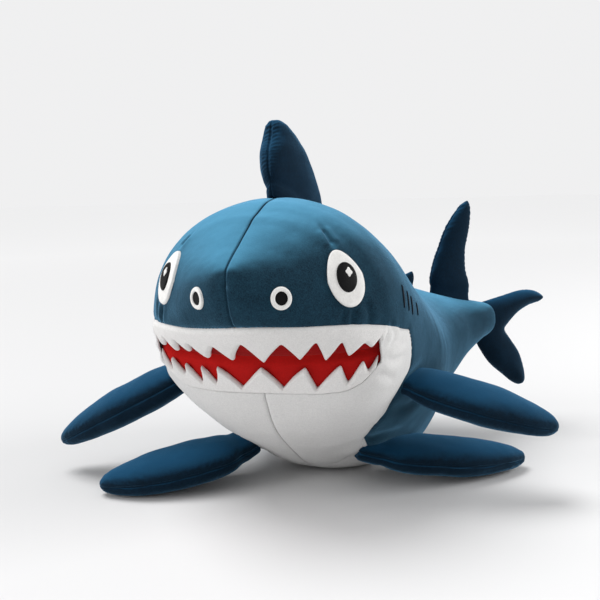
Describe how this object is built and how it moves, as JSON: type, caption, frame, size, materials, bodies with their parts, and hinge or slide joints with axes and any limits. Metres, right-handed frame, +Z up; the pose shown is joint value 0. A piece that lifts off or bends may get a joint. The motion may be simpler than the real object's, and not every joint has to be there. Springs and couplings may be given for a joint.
{
  "type": "plush shark",
  "caption": "Stuffed velour shark with a wide toothed mouth, appliqued eyes, nostrils and gills, and soft fins and tail that bend at their sewn roots",
  "frame": {"origin": "centre of the bounding box in plan, on the floor the shark rests on", "axes": "+Z up; nose towards -Y; +X towards the shark's left side, which is also the side the tail curves to; +X is the longest extent across the fins"},
  "size_m": [0.5262, 0.4802, 0.3668],
  "materials": {
    "blue_velour": "short-pile velour, dark steel blue, brushed sheen",
    "white_velour": "short-pile velour, off-white",
    "red_velour": "short-pile velour, deep red",
    "white_felt": "dense felt, white",
    "black_felt": "dense felt, black, slightly glossy",
    "dark_thread": "satin-stitched thread, near black",
    "fibre_fill": "loose polyester fibre fill"
  },
  "bodies": {
    "torso": {"belly_panel": "white_velour", "body_skin_left": "blue_velour", "body_skin_right": "blue_velour", "body_stuffing": "fibre_fill", "eye_glint_left": "white_felt", "eye_glint_right": "white_felt", "eye_pupil_left": "black_felt", "eye_pupil_right": "black_felt", "eye_white_left": "white_felt", "eye_white_right": "white_felt", "gill_slit_left_1": "dark_thread", "gill_slit_left_2": "dark_thread", "gill_slit_left_3": "dark_thread", "gill_slit_left_4": "dark_thread", "gill_slit_right_1": "dark_thread", "gill_slit_right_2": "dark_thread", "gill_slit_right_3": "dark_thread", "gill_slit_right_4": "dark_thread", "jaw_skin_left": "white_velour", "jaw_skin_right": "white_velour", "lower_teeth_strip": "white_felt", "mouth_lining_lower": "red_velour", "mouth_lining_upper": "red_velour", "nostril_centre_left": "black_felt", "nostril_centre_right": "black_felt", "nostril_ring_left": "white_felt", "nostril_ring_right": "white_felt", "upper_lip_teeth": "white_velour"},
    "tail": {"tail_skin_left": "blue_velour", "tail_skin_right": "blue_velour", "tail_stuffing": "fibre_fill"},
    "caudal_fin": {"caudal_fin_left_panel": "blue_velour", "caudal_fin_right_panel": "blue_velour", "caudal_fin_stuffing": "fibre_fill"},
    "rear_dorsal_fin": {"rear_dorsal_fin_left_panel": "blue_velour", "rear_dorsal_fin_right_panel": "blue_velour", "rear_dorsal_fin_stuffing": "fibre_fill"},
    "dorsal_fin": {"dorsal_fin_left_panel": "blue_velour", "dorsal_fin_right_panel": "blue_velour", "dorsal_fin_stuffing": "fibre_fill"},
    "pectoral_fin_left": {"pectoral_fin_left_top_panel": "blue_velour", "pectoral_fin_left_bottom_panel": "blue_velour", "pectoral_fin_left_stuffing": "fibre_fill"},
    "pectoral_fin_right": {"pectoral_fin_right_top_panel": "blue_velour", "pectoral_fin_right_bottom_panel": "blue_velour", "pectoral_fin_right_stuffing": "fibre_fill"},
    "lower_fin_left": {"lower_fin_left_top_panel": "blue_velour", "lower_fin_left_bottom_panel": "blue_velour", "lower_fin_left_stuffing": "fibre_fill"},
    "lower_fin_right": {"lower_fin_right_top_panel": "blue_velour", "lower_fin_right_bottom_panel": "blue_velour", "lower_fin_right_stuffing": "fibre_fill"},
    "finlet_top": {"finlet_top": "blue_velour"},
    "finlet_left": {"finlet_left": "blue_velour"},
    "finlet_right": {"finlet_right": "blue_velour"}
  },
  "joints": [
    {"name": "tail_bend", "type": "hinge", "parent": "torso", "child": "tail", "pos_m": [0.09009, 0.13181, 0.12], "axis": [0, 0, 1], "range_deg": [-15, 15], "stiffness_Nm_per_rad": 0.6},
    {"name": "caudal_fin_swing", "type": "hinge", "parent": "tail", "child": "caudal_fin", "pos_m": [0.1446, 0.17883, 0.13], "axis": [0, 0, 1], "range_deg": [-26, 26], "stiffness_Nm_per_rad": 0.25},
    {"name": "rear_dorsal_fin_lean", "type": "hinge", "parent": "tail", "child": "rear_dorsal_fin", "pos_m": [0.11627, 0.15504, 0.166], "axis": [0.7402, 0.6272, -0.2425], "range_deg": [-18, 18], "stiffness_Nm_per_rad": 0.2},
    {"name": "dorsal_fin_lean", "type": "hinge", "parent": "torso", "child": "dorsal_fin", "pos_m": [0.00522, -0.06006, 0.2785], "axis": [0, 0.9153, -0.4027], "range_deg": [-22, 22], "stiffness_Nm_per_rad": 0.4},
    {"name": "pectoral_fin_left_lift", "type": "hinge", "parent": "torso", "child": "pectoral_fin_left", "pos_m": [0.12422, -0.07506, 0.111], "axis": [-0.0434, -0.9991, 0], "range_deg": [-15, 28], "stiffness_Nm_per_rad": 0.6},
    {"name": "pectoral_fin_right_lift", "type": "hinge", "parent": "torso", "child": "pectoral_fin_right", "pos_m": [-0.11678, -0.07406, 0.111], "axis": [-0.2945, 0.9556, 0], "range_deg": [-6, 32], "stiffness_Nm_per_rad": 0.6},
    {"name": "lower_fin_left_lift", "type": "hinge", "parent": "torso", "child": "lower_fin_left", "pos_m": [0.08122, -0.05406, 0.032], "axis": [0.3939, -0.9191, 0], "range_deg": [-3, 16], "stiffness_Nm_per_rad": 5},
    {"name": "lower_fin_right_lift", "type": "hinge", "parent": "torso", "child": "lower_fin_right", "pos_m": [-0.06278, -0.08006, 0.032], "axis": [-0.6842, 0.7293, 0], "range_deg": [-3, 16], "stiffness_Nm_per_rad": 5},
    {"name": "finlet_top_lean", "type": "hinge", "parent": "torso", "child": "finlet_top", "pos_m": [0.0732, 0.11477, 0.1835], "axis": [0.6787, 0.7344, 0], "range_deg": [-20, 20], "stiffness_Nm_per_rad": 0.004},
    {"name": "finlet_left_lift", "type": "hinge", "parent": "torso", "child": "finlet_left", "pos_m": [0.12935, 0.05686, 0.0645], "axis": [-0.6642, -0.7476, 0], "range_deg": [-20, 20], "stiffness_Nm_per_rad": 0.004},
    {"name": "finlet_right_lift", "type": "hinge", "parent": "torso", "child": "finlet_right", "pos_m": [0.00899, 0.16379, 0.0645], "axis": [0.6642, 0.7476, 0], "range_deg": [-20, 20], "stiffness_Nm_per_rad": 0.004}
  ]
}
